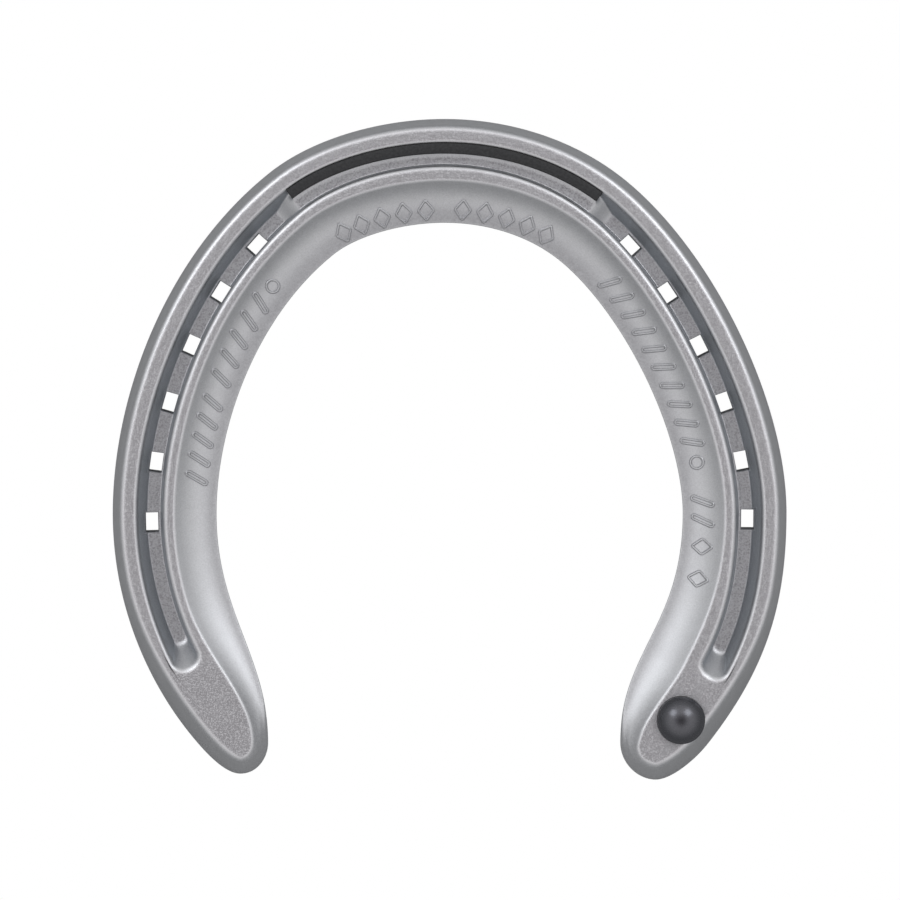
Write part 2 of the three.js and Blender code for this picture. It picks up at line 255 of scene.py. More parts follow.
def innerEdgeAt(station):
    branch = branches[sideOf(station)]
    beyond = abs(station) - branch["widest"]
    if beyond <= 0:
        return placeAt(station, shoe["web"])
    path = branch["innerHeel"]
    share = min(beyond / (branch["length"] - branch["widest"]), 1.0)
    return path.at(share * path.length)


def heelDistance(station):
    return branches[sideOf(station)]["length"] - abs(station)


def roundedSpot(enter, corner, leave, t):
    # A point on the curve that rounds a corner off between two spots.
    return (1 - t) ** 2 * enter + 2 * t * (1 - t) * corner + t * t * leave


def roundedProfile(corners, counts):
    # Corners are (x, z, rounding reach); counts give the steps of each straight and corner in turn.
    rows = []
    spots = [np.array(c[:2], float) for c in corners]
    last = spots[0]
    for i in range(1, len(spots) - 1):
        toward, away = spots[i - 1] - spots[i], spots[i + 1] - spots[i]
        reach = corners[i][2]
        enter = spots[i] + toward / np.hypot(*toward) * reach
        leave = spots[i] + away / np.hypot(*away) * reach
        straight, turn = counts[2 * i - 2], counts[2 * i - 1]
        rows += [mix(last, enter, s / straight) for s in range(straight)]
        for s in range(turn):
            rows.append(roundedSpot(enter, spots[i], leave, s / turn))
        last = leave
    rows.append(last)
    return rows


def wallProfile(draft, rounding):
    # From the hoof face round its edge, up the outer wall and over on to the ground face.
    top = shoe["thickness"]
    corners = [(1.0, 0, 0), (0, 0, shoe["hoofEdge"]), (draft, top, rounding), (draft + 4, top, 0)]
    return roundedProfile(corners, detail["wallCounts"])


def slopeProfile(width, edgeHeight, hollow, lipTilt):
    # From the hoof face up the thin inner edge, over its lip and up the hollow slope.
    lean = shoe["edgeLean"]
    lip = [
        (1.0 + lean, 0, 0), (lean, 0, shoe["hoofEdge"]),
        (0, edgeHeight, shoe["lipRound"]), (3, edgeHeight + 3 * lipTilt, 0),
    ]
    rows = roundedProfile(lip, detail["lipCounts"])
    top, start = shoe["thickness"], rows[-1]
    rimCut = shoe["rimFoot"]
    run = width - start[0]
    lipRise = run * lipTilt
    hollowRise = top - start[1] - lipRise

    def spot(share):
        return np.array([start[0] + run * share, start[1] + lipRise * share + hollowRise * share**hollow])

    lastShare = 1 - rimCut * 0.75 / run
    steps = detail["slopeSteps"]
    rows += [spot(lastShare * s / steps) for s in range(1, steps + 1)]
    enter, corner, leave = rows[-1], spot(1.0), np.array([width + rimCut, top])
    for s in range(1, detail["slopeFootSteps"] + 1):
        rows.append(roundedSpot(enter, corner, leave, s / detail["slopeFootSteps"]))
    return rows


def endStations(side):
    # Stations from the heel end up to where the crease runs straight, closer together at the heel.
    branch = branches[side]
    straightStart = branch["length"] - crease["heelGap"] - crease["endRamp"] - 4.5
    shares = [1 - (1 - i / detail["endSteps"]) ** detail["crowding"] for i in range(detail["endSteps"] + 1)]
    return [mix(straightStart, branch["length"], share) for share in shares][::-1]


def middleStations(side, first):
    insertEnd = toe["insertLength"] / 2
    keys = [0, insertEnd, insertEnd + toe["bedRamp"], branches[side]["widest"], first]
    stations = []
    for low, high in zip(keys, keys[1:]):
        steps = math.ceil((high - low) / detail["stationPitch"])
        stations += [mix(low, high, s / steps) for s in range(steps)]
    return stations


outsideEnd, insideEnd = endStations(1), endStations(-1)
outsideMiddle = middleStations(1, outsideEnd[-1])
insideMiddle = middleStations(-1, insideEnd[-1])
stations = outsideEnd + outsideMiddle[::-1]
stations += [-s for s in insideMiddle[1:]] + [-s for s in insideEnd[::-1]]
stationCount = len(stations)
ringCount = 2 * stationCount - 2
print("stations along the edge:", stationCount)


def shoeOutline():
    corners = [{"station": s, "point": placeAt(s, 0), "past": -heelDistance(s)} for s in stations]
    corners += [
        {"station": s, "point": innerEdgeAt(s), "past": heelDistance(s)} for s in stations[1:-1][::-1]
    ]
    count = len(corners)
    for i, corner in enumerate(corners):
        along = corners[(i + 1) % count]["point"] - corners[i - 1]["point"]
        along /= np.hypot(*along)
        corner["inward"] = np.array([-along[1], along[0]])
    return corners


def roundPadEnd(ring, outline, passes):
    # Eases the plan of a ring near the heels, so its end is a smooth curve without folds.
    spots = np.array(ring)
    away = np.array([abs(corner["past"]) for corner in outline])
    weight = np.array([smoothStep(1 - a / shoe["padRoundReach"]) for a in away])[:, None] * 0.5
    for _ in range(passes):
        middle = (np.roll(spots[:, :2], 1, axis=0) + np.roll(spots[:, :2], -1, axis=0)) / 2
        spots[:, :2] += (middle - spots[:, :2]) * weight
    return [tuple(spot) for spot in spots]


def edgeRings():
    # Nested rings from the hoof face to the start of the flat ground face.
    outline = shoeOutline()
    fullSlope = shoe["web"] - crease["setback"] - crease["width"] - shoe["innerRim"]
    draftRun = shoe["heelDraftReach"] - shoe["heelDraftStart"]
    turnRun = shoe["turnEnd"] - shoe["turnStart"]
    columns = []
    for corner in outline:
        away = abs(corner["past"])
        plain = smoothStep((away - shoe["heelDraftStart"]) / draftRun)
        grown = smoothStep(away / shoe["heelSlopeReach"][sideOf(corner["station"])])
        wall = wallProfile(
            mix(shoe["heelWallDraft"], shoe["wallDraft"], plain),
            mix(shoe["heelRimRound"], shoe["rimRound"], plain),
        )
        low, high = shoe["hollowReach"]
        heelward = smoothStep((abs(corner["station"]) - low) / (high - low))
        slope = slopeProfile(
            mix(shoe["heelSlope"], fullSlope, grown),
            mix(shoe["heelEdge"], shoe["innerEdge"], grown),
            mix(shoe["toeHollow"], shoe["heelHollow"], heelward),
            mix(shoe["lipTilt"], shoe["heelLipTilt"], heelward),
        )
        slopeShare = smoothStep((corner["past"] - shoe["turnStart"]) / turnRun)
        column = []
        for wallRow, slopeRow in zip(wall, slope):
            inset, height = mix(wallRow, slopeRow, slopeShare)
            spot = corner["point"] + corner["inward"] * inset
            column.append((spot[0], spot[1], height))
        columns.append(column)
    rings = [list(ring) for ring in zip(*columns)]
    first = shoe["padRoundFirstRing"]
    for r in range(first, len(rings)):
        share = (r - first) / (len(rings) - 1 - first)
        rings[r] = roundPadEnd(rings[r], outline, round(shoe["padRoundPasses"] * share))
    return rings


def creaseWidthAt(station):
    return mix(crease["toeWidth"], crease["width"], smoothStep(abs(station) / crease["toeReach"]))


def floorAt(station):
    pastBed = min(max((abs(station) - toe["insertLength"] / 2) / toe["bedRamp"], 0.0), 1.0)
    return mix(toe["bed"], crease["floor"], mix(pastBed, smoothStep(pastBed), toe["rampEase"]))


def creaseStep(lean, depth, mouth, foot):
    # Rows of (plan, depth) from the land, over the mouth's edge, down a wall and on to the floor.
    corners = [(-3, 0, 0), (0, 0, mouth), (lean, depth, foot), (lean + 3, depth, 0)]
    return roundedProfile(corners, detail["creaseCounts"])[1:]


fullDepth = shoe["thickness"] - crease["floor"]
creaseRowCount = len(creaseStep(1.0, fullDepth, crease["mouthRound"], crease["footRound"]))


def creaseWalls(station):
    depth = shoe["thickness"] - floorAt(station)
    share = depth / fullDepth
    fromShift = abs(abs(station) - crease["nailShiftAt"])
    shift = crease["nailShift"] * smoothStep(1 - fromShift / crease["nailShiftReach"])
    outer = creaseStep(crease["outerLean"] * share - shift, depth, crease["mouthRound"], crease["footRound"])
    outer = [(plan + shift, drop) for plan, drop in outer]
    inner = creaseStep(crease["innerLean"] * share, depth, crease["innerMouthRound"], crease["footRound"])
    return outer, inner


def creaseSpot(station, setback, depth):
    x, y = placeAt(station, setback)
    return (x, y, shoe["thickness"] - depth)


def creaseEndColumns(side):
    # Columns from the crease's round end to where it runs straight, for its outer and inner wall.
    branch = branches[side]
    outer, inner = creaseWalls(side * branch["length"])
    endMouth = crease["mouthRound"] * crease["endMouthEase"]
    endFoot = crease["footRound"] * crease["endFootEase"]
    end = creaseStep(crease["endRamp"], fullDepth, endMouth, endFoot)
    tipStation = branch["length"] - crease["heelGap"]
    straightEnd = (outsideEnd if side > 0 else insideEnd)[-1]
    outerTop, innerTop = crease["setback"], crease["setback"] + crease["width"]
    columns = {"outer": [], "inner": []}
    for step in range(detail["endSteps"] + 1):
        outerColumn, innerColumn = [], []
        for row in range(creaseRowCount):
            low, high = outerTop + outer[row][0], innerTop - inner[row][0]
            middle, radius = (low + high) / 2, (high - low) / 2
            tip = tipStation - end[row][0]
            arc = min(step / detail["endArc"], 1.0) * math.pi / 2
            along = tip - radius * (1 - math.cos(arc))
            if step > detail["endArc"]:
                share = (step - detail["endArc"]) / (detail["endSteps"] - detail["endArc"])
                along = mix(tip - radius, straightEnd, share)
            spread = radius * math.sin(arc)
            sunk = math.sin(arc) ** 2
            outerDepth = mix(end[row][1], outer[row][1], sunk)
            innerDepth = mix(end[row][1], inner[row][1], sunk)
            outerColumn.append(creaseSpot(side * along, middle - spread, outerDepth))
            innerColumn.append(creaseSpot(side * along, middle + spread, innerDepth))
        columns["outer"].append(outerColumn)
        columns["inner"].append(innerColumn)
    return columns


def creaseMiddleColumns():
    columns = {"outer": [], "inner": []}
    for station in stations[detail["endSteps"] + 1 : stationCount - detail["endSteps"] - 1]:
        outer, inner = creaseWalls(station)
        innerTop = crease["setback"] + creaseWidthAt(station)
        columns["outer"].append([creaseSpot(station, crease["setback"] + p, d) for p, d in outer])
        columns["inner"].append([creaseSpot(station, innerTop - p, d) for p, d in inner])
    return columns


def creaseRings():
    # Nested rings from the mouth of the crease down to its floor, matching the edge rings' order.
    outsideColumns, insideColumns = creaseEndColumns(1), creaseEndColumns(-1)
    middle = creaseMiddleColumns()
    line = {
        wall: outsideColumns[wall] + middle[wall] + insideColumns[wall][::-1]
        for wall in ("outer", "inner")
    }
    columns = line["outer"] + line["inner"][1:-1][::-1]
    return [list(ring) for ring in zip(*columns)]


def ladder(ring, columns, raised=None):
    # Rows of points across a ring, between its outer and inner side, station by station.
    rows = []
    for i in range(1, stationCount - 1):
        near, far = np.array(ring[i]), np.array(ring[ringCount - i])
        row = []
        for k in range(1, columns):
            spot = mix(near, far, k / columns)
            if raised:
                spot[2] += raised(stations[i], float(np.hypot(*(spot - near)[:2])))
            row.append(tuple(spot))
        rows.append(row)
    return rows


def shoulderRise(station, fromFoot):
    # The bed swells a little against the insert's inner face.
    half = toe["insertLength"] / 2
    if abs(station) > half:
        return 0.0
    footSetback = crease["setback"] + crease["outerLean"] * (shoe["thickness"] - toe["bed"]) / fullDepth
    footSetback += crease["footRound"]
    past = fromFoot + footSetback - (toe["insertSetback"] + toe["insertThickness"])
    share = 1 - min(max(past / toe["shoulderReach"], 0.0), 1.0)
    return toe["shoulderRise"] * share ** toe["shoulderPower"]


def addLadder(faces, firstRing, ladderStart, columns, flip):
    # Fills a ring with quads; ladderStart is the index of its first inner point.
    def index(i, k):
        if k == 0:
            return firstRing + i
        if k == columns:
            return firstRing + ringCount - i
        return ladderStart + (i - 1) * (columns - 1) + (k - 1)

    for i in range(1, stationCount - 2):
        for k in range(columns):
            quad = [index(i, k), index(i, k + 1), index(i + 1, k + 1), index(i + 1, k)]
            faces.append(quad[::-1] if flip else quad)
    for i, tip in ((1, firstRing), (stationCount - 2, firstRing + stationCount - 1)):
        for k in range(columns):
            tri = [tip, index(i, k + 1), index(i, k)]
            if i != 1:
                tri = [tip, index(i, k), index(i, k + 1)]
            faces.append(tri[::-1] if flip else tri)


def meshObject(name, points, faces):
    mesh = bpy.data.meshes.new(name)
    mesh.from_pydata([tuple(map(float, p)) for p in points], [], faces)
    mesh.validate()
    made = bpy.data.objects.new(name, mesh)
    bpy.context.scene.collection.objects.link(made)
    return made


def plateBody():
    rings = edgeRings()
    groove = creaseRings()
    landStart, landEnd = np.array(rings[-1]), np.array(groove[0])
    landSteps = detail["landSteps"]
    landRings = [
        [tuple(p) for p in mix(landStart, landEnd, s / landSteps)] for s in range(1, landSteps)
    ]
    rings = rings + landRings + groove
    points = [p for ring in rings for p in ring]
    faces = []
    for r in range(len(rings) - 1):
        low, high = r * ringCount, (r + 1) * ringCount
        for i in range(ringCount):
            j = (i + 1) % ringCount
            faces.append([low + i, low + j, high + j, high + i])
    hoofColumns, floorColumns = detail["hoofColumns"], detail["floorColumns"]
    start = len(points)
    points += [p for row in ladder(rings[0], hoofColumns) for p in row]
    addLadder(faces, 0, start, hoofColumns, False)
    start = len(points)
    points += [p for row in ladder(rings[-1], floorColumns, shoulderRise) for p in row]
    addLadder(faces, (len(rings) - 1) * ringCount, start, floorColumns, True)
    return meshObject("plate_forging", points, faces)


def loftSolid(sections):
    # Points and faces of a closed solid through sections of equal point count.
    size = len(sections[0])
    points = [p for section in sections for p in section]
    faces = []
    for s in range(len(sections) - 1):
        low, high = s * size, (s + 1) * size
        for i in range(size):
            j = (i + 1) % size
            faces.append([low + i, low + j, high + j, high + i])
    faces.append(list(range(size))[::-1])
    faces.append([(len(sections) - 1) * size + i for i in range(size)])
    return points, faces


def joined(name, solids):
    # One mesh object from several separate solids.
    points, faces = [], []
    for solidPoints, solidFaces in solids:
        start = len(points)
        points += solidPoints
        faces += [[start + i for i in face] for face in solidFaces]
    made = meshObject(name, points, faces)
    normalsOut(made)
    return made


def normalsOut(made):
    work = bmesh.new()
    work.from_mesh(made.data)
    bmesh.ops.recalc_face_normals(work, faces=work.faces)
    work.to_mesh(made.data)
    work.free()


def nailHole(side, number):
    first = toe["insertLength"] / 2 + toe["bedRamp"] + nails["gap"][side]
    station = side * (first + number * nails["pitch"])
    setback = mix(nails["firstSetback"], nails["lastSetback"], number / (nails["count"] - 1))
    middle = placeAt(station, setback)
    inward = placeAt(station, setback + 1) - middle
    heelward = np.array([inward[1], -inward[0]]) * -side
    floor, flare = crease["floor"], nails["chamfer"]
    levels = [
        (-1.0, 0.0, flare * 1.5),
        (-0.001, 0.0, flare),
        (flare, 0.0, 0.0),
        (floor - flare, 1.0, 0.0),
        (floor + flare, 1.0, 2 * flare),
        (shoe["thickness"] - 1.2, 1.0, 2 * flare),
    ]
    sections = []
    for height, rise, grow in levels:
        toeEnd = -nails["length"] / 2 - grow
        heelEnd = nails["length"] / 2 + nails["heelLean"] * rise + grow
        half = nails["width"] / 2 + grow
        corners = [(toeEnd, -half), (heelEnd, -half), (heelEnd, half), (toeEnd, half)]
        sections.append([(*(middle + heelward * a + inward * b), height) for a, b in corners])
    return loftSolid(sections)


def toeBar(halfLength, near, far, foot, top):
    steps = 2 * math.ceil(halfLength / detail["stationPitch"])
    sections = []
    for s in range(steps + 1):
        station = mix(halfLength, -halfLength, s / steps)
        a, b = placeAt(station, near), placeAt(station, far)
        sections.append([(*a, foot), (*b, foot), (*b, top), (*a, top)])
    return loftSolid(sections)


def turned(profile, segments):
    # Turns (radius, height) pairs about the stud's axis; the first and last lie on it.
    points, faces = [(0, 0, profile[0][1])], []
    rows = profile[1:-1]
    for radius, height in rows:
        for k in range(segments):
            angle = 2 * math.pi * k / segments
            points.append((radius * math.cos(angle), radius * math.sin(angle), height))
    top = len(points)
    points.append((0, 0, profile[-1][1]))
    for k in range(segments):
        j = (k + 1) % segments
        faces.append([0, 1 + j, 1 + k])
        for r in range(len(rows) - 1):
            low, high = 1 + r * segments, 1 + (r + 1) * segments
            faces.append([low + k, low + j, high + j, high + k])
        last = 1 + (len(rows) - 1) * segments
        faces.append([last + k, last + j, top])
    axisX, axisY = (studLow.x + studHigh.x) / 2 / mm, (studLow.y + studHigh.y) / 2 / mm
    return [(x + axisX, y + axisY, z) for x, y, z in points], faces


def studHole():
    pocket = shoe["thickness"] - stud["pocket"]
    gap = stud["fitGap"]
    taper = (stud["shankTop"] - stud["shankFoot"]) / 2 / (pocket - stud["foot"])
    mouth = stud["shankFoot"] / 2 - taper * stud["foot"] + gap
    seat = stud["diameter"] / 2 + gap
    profile = [
        (0, -1), (mouth + 0.5, -1), (mouth + 0.3, 0), (mouth, 0.3),
        (stud["shankTop"] / 2 + gap, pocket), (seat - 0.15, pocket), (seat, pocket + 0.15),
        (seat, shoe["thickness"] - 0.05), (seat + 0.5, shoe["thickness"] + 0.45),
        (0, shoe["thickness"] + 0.45),
    ]
    return turned(profile, detail["studSegments"])


def applyModifiers(target):
    depsgraph = bpy.context.evaluated_depsgraph_get()
    finished = bpy.data.meshes.new_from_object(target.evaluated_get(depsgraph))
    target.modifiers.clear()
    target.data = finished


def combine(target, other, operation):
    # Adds the other mesh to the target or cuts it away, and leaves one closed mesh.
    change = target.modifiers.new("combine", "BOOLEAN")
    change.operation = operation
    change.solver = "MANIFOLD"
    change.object = other
    applyModifiers(target)
    bpy.data.objects.remove(other)


marks = {
    # Plain raised outlines where a maker would strike a name and a size: bars, lozenges and rings.
    "lineHalf": 0.29,
    "height": 0.32,
    "sunk": 0.3,
    "spacing": 0.16,  # step along a line
    "barHalfLength": 1.75,
    "barHalfWidth": 0.44,
    "lozengeHalf": (1.55, 1.95),
    "lozengeRound": 0.14,  # share of each side that its rounded corner takes
    "ringRadius": 1.2,
    "slant": 24.0,  # degrees off square to the edge
    # kind, first station, last station, number, setback of the middle
    "rows": [
        ("lozenge", -28.5, -5.0, 5, 17.7),
        ("lozenge", 5.0, 29.5, 5, 17.6),
        ("bar", -102.0, -84.0, 5, 16.1),
        ("bar", -78.0, -58.0, 5, 16.1),
        ("ring", -53.0, -53.0, 1, 16.1),
        ("bar", 51.0, 92.5, 10, 16.3),
        ("ring", 97.5, 97.5, 1, 16.4),
        ("bar", 107.5, 112.5, 2, 16.4),
        ("lozenge", 118.5, 126.5, 2, 16.3),
    ],
}


def markOutline(kind):
    # Closed outline of one mark, in (along, inward) millimetres about its own middle.
    if kind == "ring":
        turns = np.linspace(0, 2 * math.pi, 49)[:-1]
        return [(marks["ringRadius"] * math.cos(t), marks["ringRadius"] * math.sin(t)) for t in turns]
    if kind == "bar":
        half, reach = marks["barHalfWidth"], marks["barHalfLength"]
        ends = [(0, reach, 0.0), (0, -reach, math.pi)]
        outline = []
        for x, y, start in ends:
            turns = [start + math.pi * k / 8 for k in range(9)]
            outline += [(x + half * math.cos(t), y + half * math.sin(t)) for t in turns]
        lean = math.radians(marks["slant"])
        return [
            (x * math.cos(lean) + y * math.sin(lean), y * math.cos(lean) - x * math.sin(lean))
            for x, y in outline
        ]
    half, reach = marks["lozengeHalf"]
    corners = [(half, 0), (0, reach), (-half, 0), (0, -reach)]
    outline = []
    for i, corner in enumerate(corners):
        spot = np.array(corner)
        enter = mix(spot, np.array(corners[i - 1]), marks["lozengeRound"])
        leave = mix(spot, np.array(corners[(i + 1) % 4]), marks["lozengeRound"])
        for k in range(6):
            outline.append(tuple(roundedSpot(enter, spot, leave, k / 5)))
    return outline


def evenSteps(outline, step):
    # The same closed line with points at an even spacing.
    spots = np.array(outline + outline[:1])
    reach = np.concatenate([[0], np.cumsum(np.hypot(*np.diff(spots, axis=0).T))])
    count = round(reach[-1] / step)
    at = np.arange(count) * reach[-1] / count
    return np.stack([np.interp(at, reach, spots[:, 0]), np.interp(at, reach, spots[:, 1])], axis=1)


def raisedLine(path, surface):
    # A rounded ridge that follows a closed plan line over the surface below it.
    half, height, sunk = marks["lineHalf"], marks["height"], marks["sunk"]
    section = [
        (-half, -0.04), (-0.6 * half, 0.75 * height), (-0.3 * half, height), (0.3 * half, height),
        (0.6 * half, 0.75 * height), (half, -0.04), (0.7 * half, -sunk), (-0.7 * half, -sunk),
    ]
    size, count = len(section), len(path)
    along = np.roll(path, -1, axis=0) - np.roll(path, 1, axis=0)
    along /= np.hypot(*along.T)[:, None]
    points = []
    for (x, y), (alongX, alongY) in zip(path, along):
        for across, rise in section:
            px, py = x + alongY * across, y - alongX * across
            hit = surface.ray_cast(Vector((px, py, 50)), Vector((0, 0, -1)))
            points.append((px, py, hit[0].z + rise))
    faces = []
    for i in range(count):
        low, high = i * size, (i + 1) % count * size
        for k in range(size):
            j = (k + 1) % size
            faces.append([low + k, low + j, high + j, high + k])
    return points, faces


def raisedMarks(plateMesh):
    bodyPoints = [tuple(v.co) for v in plateMesh.data.vertices]
    surface = BVHTree.FromPolygons(bodyPoints, [tuple(p.vertices) for p in plateMesh.data.polygons])
    made = []
    for kind, first, last, count, setback in marks["rows"]:
        for number in range(count):
            station = mix(first, last, number / max(count - 1, 1))
            middle = placeAt(station, setback)
            inward = placeAt(station, setback + 1) - middle
            along = np.array([inward[1], -inward[0]])
            outline = [tuple(middle + along * a + inward * b) for a, b in markOutline(kind)]
            made.append(raisedLine(evenSteps(outline, marks["spacing"]), surface))
    return made


def finishPiece(made, materials, node, sharpDegrees=34):
    # Millimetres to metres, smooth shading with crisp edges, and its place in the frame.
    made.data.transform(Matrix.Scale(mm, 4))
    made.data.materials.clear()
    for material in materials:
        made.data.materials.append(material)
    made.data.shade_smooth()
    made.data.set_sharp_from_angle(angle=math.radians(sharpDegrees))
    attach(made, "root")
    if node:
        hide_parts(node)


# Materials

def linear(hexColour):
    parts = [int(hexColour[i : i + 2], 16) / 255 for i in (1, 3, 5)]
    return [p / 12.92 if p <= 0.04045 else ((p + 0.055) / 1.055) ** 2.4 for p in parts] + [1.0]


def addNode(tree, kind, settings=None, links=None):
    # One node with its settings and links; a whole number picks a socket by its place.
    node = tree.nodes.new(kind)
    for name, value in (settings or {}).items():
        if isinstance(name, int) or name in node.inputs:
            node.inputs[name].default_value = value
        else:
            setattr(node, name, value)
    for name, source in (links or {}).items():
        tree.links.new(source, node.inputs[name])
    return node


def newMaterial(name):
    material = bpy.data.materials.new(name)
    material.use_nodes = True
    tree = material.node_tree
    tree.nodes.clear()
    output = addNode(tree, "ShaderNodeOutputMaterial")
    return material, tree, output


aluminium = {
    "slopeColour": "#bdbdbf",  # die-struck slopes and outer wall: an even neutral grey
    "landColourAndPaintedLight": "#cdccce",  # ground face: a light grain, and painted paler and faintly mauve for the light falling on it from above
    "floorColour": "#c1c1c3",  # crease floor: a little darker, and darker still in its pits
    "wallColourWithPaintedShade": "#b4b7bb",  # crease walls: painted shade, darker and cooler than the slopes, as little light reaches into the crease
    "pitColour": "#858086",
    "roughness": (0.36, 0.46),
    "landRoughness": (0.31, 0.46),
    "wallRoughness": 0.62,
    "grit": 0.26,  # size of the blasting marks, drawn coarse enough to show
    "gritDepth": 0.012,
    "landGritDepth": 0.018,
    "pit": 0.34,  # size of the pits in the crease floor
    "pitDepth": 0.016,
    "mottle": 2.6,  # soft patches of tone
    "ripple": 9.0,  # slow unevenness from the forging die
    "rippleDepth": 0.02,
}


def forgedAluminium():
    # Shot-blasted forging: satin grey slopes, grainy flats and a duller, pitted crease floor.
    material, tree, output = newMaterial("shot_blasted_forged_aluminium")
    place = addNode(tree, "ShaderNodeTexCoord").outputs["Object"]

    def noise(size, octaves, rough):
        settings = {"Scale": 1 / (size * mm), "Detail": octaves, "Roughness": rough}
        return addNode(tree, "ShaderNodeTexNoise", settings, {"Vector": place}).outputs["Fac"]

    def span(value, low, high, toLow, toHigh):
        settings = {"From Min": low, "From Max": high, "To Min": toLow, "To Max": toHigh}
        return addNode(tree, "ShaderNodeMapRange", settings, {"Value": value}).outputs["Result"]

    def blend(share, first, second):
        node = addNode(tree, "ShaderNodeMix", {"data_type": "RGBA"}, {0: share})
        for socket, colour in ((6, first), (7, second)):
            if isinstance(colour, str):
                node.inputs[socket].default_value = linear(colour)
            else:
                tree.links.new(colour, node.inputs[socket])
        return node.outputs[2]

    def blendValue(share, first, second):
        node = addNode(tree, "ShaderNodeMix", {"data_type": "FLOAT"}, {0: share, 2: first, 3: second})
        return node.outputs[0]

    def product(first, second):
        return addNode(tree, "ShaderNodeMath", {"operation": "MULTIPLY"}, {0: first, 1: second}).outputs[0]

    land = addNode(tree, "ShaderNodeAttribute", {"attribute_name": "land"}).outputs["Fac"]
    floor = addNode(tree, "ShaderNodeAttribute", {"attribute_name": "creaseFloor"}).outputs["Fac"]
    wall = addNode(tree, "ShaderNodeAttribute", {"attribute_name": "creaseWall"}).outputs["Fac"]
    grit = noise(aluminium["grit"], 2.0, 0.6)
    pits = noise(aluminium["pit"], 3.0, 0.6)
    mottle = noise(aluminium["mottle"], 3.0, 0.55)
    ripple = noise(aluminium["ripple"], 1.0, 0.5)

    # The ground face gets painted light: a paler, faintly mauve grey.
    flats = blend(land, aluminium["slopeColour"], aluminium["landColourAndPaintedLight"])
    flats = blend(floor, flats, aluminium["floorColour"])
    # The crease walls get painted shade: a darker, cooler grey.
    flats = blend(wall, flats, aluminium["wallColourWithPaintedShade"])
    pitShare = product(floor, span(pits, 0.34, 0.54, 0.6, 0.0))
    pitted = blend(pitShare, flats, aluminium["pitColour"])
    grainTone = blendValue(land, span(grit, 0.3, 0.7, 0.9, 1.1), span(grit, 0.38, 0.66, 0.94, 1.14))
    tone = product(span(mottle, 0.3, 0.7, 0.975, 1.015), grainTone)
    shade = addNode(
        tree, "ShaderNodeVectorMath", {"operation": "SCALE"}, {0: pitted, "Scale": tone}
    ).outputs["Vector"]
    smoothRough = span(grit, 0.3, 0.7, *aluminium["roughness"])
    landRough = span(grit, 0.46, 0.68, *aluminium["landRoughness"])
    rough = blendValue(land, smoothRough, landRough)
    wallRough = addNode(
        tree, "ShaderNodeMix",
        {"data_type": "FLOAT", 3: aluminium["wallRoughness"]},
        {0: wall, 2: rough},
    )

    def bump(height, depth, before=None):
        settings = {"Strength": 1.0}
        links = {"Height": height}
        if before:
            links["Normal"] = before
        node = addNode(tree, "ShaderNodeBump", settings, links)
        if isinstance(depth, float):
            node.inputs["Distance"].default_value = depth
        else:
            tree.links.new(depth, node.inputs["Distance"])
        return node.outputs["Normal"]

    slow = bump(ripple, aluminium["rippleDepth"] * mm)
    fineDepth = span(land, 0.0, 1.0, aluminium["gritDepth"] * mm, aluminium["landGritDepth"] * mm)
    fine = bump(grit, fineDepth, slow)
    deep = bump(pits, span(floor, 0.0, 1.0, 0.0, aluminium["pitDepth"] * mm), fine)
    shader = addNode(
        tree, "ShaderNodeBsdfPrincipled",
        {"Metallic": 1.0},
        {"Base Color": shade, "Roughness": wallRough.outputs[0], "Normal": deep},
    )
    tree.links.new(shader.outputs["BSDF"], output.inputs["Surface"])
    return material


zones = {
    # Where the material's zones begin and end, in millimetres, and how upright a wall is.
    "flatStart": 0.9,
    "flatRun": 0.09,
    "steepStart": 0.7,
    "steepRun": 0.2,
    "outerMargin": 0.3,
    "innerMargin": 0.2,
    "landDepth": 0.25,
    "creaseTop": 0.7,
    "creaseFoot": 2.5,  # lower points belong to the hoof face
}


def markZones(made):
    # Tells the material which points lie on the ground face, on the crease floor and on its walls.
    outlinePoints = np.vstack([branches[side]["outer"].points for side in (1, -1)])
    toHeel = np.concatenate(
        [branches[side]["length"] - branches[side]["outer"].reach for side in (1, -1)]
    )
    creaseStart = crease["setback"] + zones["outerMargin"]
    creaseEnd = crease["setback"] + crease["width"] + zones["innerMargin"]
    tree = KDTree(len(outlinePoints))
    for i, (x, y) in enumerate(outlinePoints):
        tree.insert((x, y, 0), i)
    tree.balance()
    land, floor, wall = [], [], []
    for vertex in made.data.vertices:
        x, y, z = vertex.co
        flat = smoothStep((vertex.normal.z - zones["flatStart"]) / zones["flatRun"])
        steep = smoothStep((zones["steepStart"] - vertex.normal.z) / zones["steepRun"])
        _, nearest, setback = tree.find((x, y, 0))
        inCrease = creaseStart < setback < creaseEnd and toHeel[nearest] > crease["heelGap"]
        inCrease = inCrease and zones["creaseFoot"] < z < shoe["thickness"] - zones["creaseTop"]
        land.append(flat if z > shoe["thickness"] - zones["landDepth"] else 0.0)
        floor.append(flat if inCrease else 0.0)
        wall.append(steep if inCrease else 0.0)
    for name, values in (("land", land), ("creaseFloor", floor), ("creaseWall", wall)):
        made.data.attributes.new(name, "FLOAT", "POINT").data.foreach_set("value", values)


blackSteel = {
    "colour": "#3f3f40",
    "scale": "#313132",
    "roughness": (0.5, 0.68),
    "grain": 0.5,
    "grainDepth": 0.01,
}


